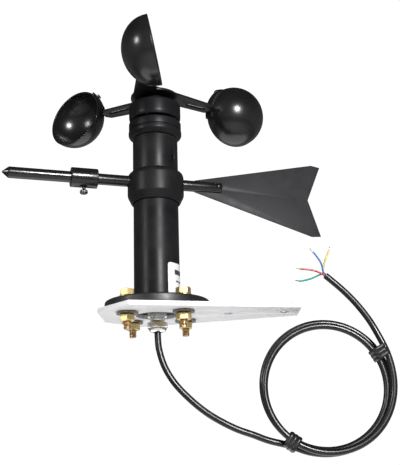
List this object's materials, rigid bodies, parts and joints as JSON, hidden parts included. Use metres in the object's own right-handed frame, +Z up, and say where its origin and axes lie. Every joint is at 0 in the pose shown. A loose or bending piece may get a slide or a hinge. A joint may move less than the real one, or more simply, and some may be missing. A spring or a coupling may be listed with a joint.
{
  "type": "cup anemometer",
  "caption": "Cup anemometer with a balanced wind vane on a cylindrical sensor column, bolted to a flat mast bracket, with a coiled cable.",
  "frame": {"origin": "midway between the bracket's two mast holes, on its underside, where it rests on a mast's cross-arm", "axes": "+Z up along the rotor and vane axis, +X along the bracket arm from the sensor column towards the mast end"},
  "size_m": [0.2887, 0.1652, 0.3146],
  "materials": {
    "white_paint": "satin off-white powder coat",
    "black_paint": "satin black powder coat",
    "black_sheet": "matt black painted sheet",
    "black_plastic": "polished black moulding",
    "yellow_zinc": "yellow passivated zinc plate",
    "nickel": "bright nickel plate",
    "dark_steel": "black oxide",
    "bearing_steel": "ground steel",
    "magnet": "sintered, dark grey",
    "rubber": "matt",
    "cable_jacket": "soft satin sheath",
    "green_board": "solder resist",
    "blue_wire": "insulation",
    "yellow_wire": "insulation",
    "red_wire": "insulation",
    "green_wire": "insulation"
  },
  "bodies": {
    "column": {"bracket_plate": "white_paint", "flange_bolt_1": "yellow_zinc", "flange_nut_1": "yellow_zinc", "flange_washer_1": "yellow_zinc", "head_washer_1": "yellow_zinc", "flange_bolt_2": "yellow_zinc", "flange_nut_2": "yellow_zinc", "flange_washer_2": "yellow_zinc", "head_washer_2": "yellow_zinc", "flange_bolt_3": "yellow_zinc", "flange_nut_3": "yellow_zinc", "flange_washer_3": "yellow_zinc", "head_washer_3": "yellow_zinc", "flange_bolt_4": "yellow_zinc", "flange_nut_4": "yellow_zinc", "flange_washer_4": "yellow_zinc", "head_washer_4": "yellow_zinc", "base_flange": "black_paint", "lower_tube": "black_paint", "upper_tube": "black_paint", "bearing_housing": "black_paint", "set_screw": "dark_steel", "rotor_bearing_lower": "bearing_steel", "rotor_bearing_upper": "bearing_steel", "vane_bearing": "bearing_steel", "circuit_board": "green_board", "gland_body": "nickel", "gland_nut": "nickel", "gland_seal": "rubber", "cable_lead": "cable_jacket", "cable_coil": "cable_jacket", "cable_tail": "cable_jacket", "cable_tie_1": "cable_jacket", "cable_tie_2": "cable_jacket", "wire_blue": "blue_wire", "wire_yellow": "yellow_wire", "wire_red": "red_wire", "wire_green": "green_wire"},
    "rotor": {"rotor_hub": "black_paint", "rotor_spider": "black_paint", "rotor_cap_nut": "dark_steel", "rotor_shaft": "bearing_steel", "rotor_magnet": "magnet", "cup_1": "black_plastic", "cup_2": "black_plastic", "cup_3": "black_plastic", "cup_screw_1": "dark_steel", "cup_screw_2": "dark_steel", "cup_screw_3": "dark_steel", "cup_screw_4": "dark_steel", "cup_screw_5": "dark_steel", "cup_screw_6": "dark_steel"},
    "vane": {"vane_hub": "black_paint", "vane_rod_front": "black_paint", "vane_rod_rear": "black_paint", "tail_fin": "black_sheet", "fin_rivet": "dark_steel", "vane_magnet_ring": "magnet"},
    "counterweight": {"counterweight_sleeve": "black_paint"},
    "thumb_screw": {"thumb_screw": "dark_steel"}
  },
  "joints": [
    {"name": "rotor_spin", "type": "hinge", "parent": "column", "child": "rotor", "pos_m": [-0.0755, 0, 0.15], "axis": [0, 0, 1], "continuous": true},
    {"name": "vane_spin", "type": "hinge", "parent": "column", "child": "vane", "pos_m": [-0.0755, 0, 0.1068], "axis": [0, 0, 1], "continuous": true},
    {"name": "counterweight_slide", "type": "slide", "parent": "vane", "child": "counterweight", "axis": [-0.95, -0.3123, 0], "range_m": [-0.022, 0.044]},
    {"name": "thumb_screw_turn", "type": "hinge", "parent": "counterweight", "child": "thumb_screw", "pos_m": [-0.12993, -0.0179, 0.0948], "axis": [0, 0, -1], "range_deg": [0, 360]}
  ]
}
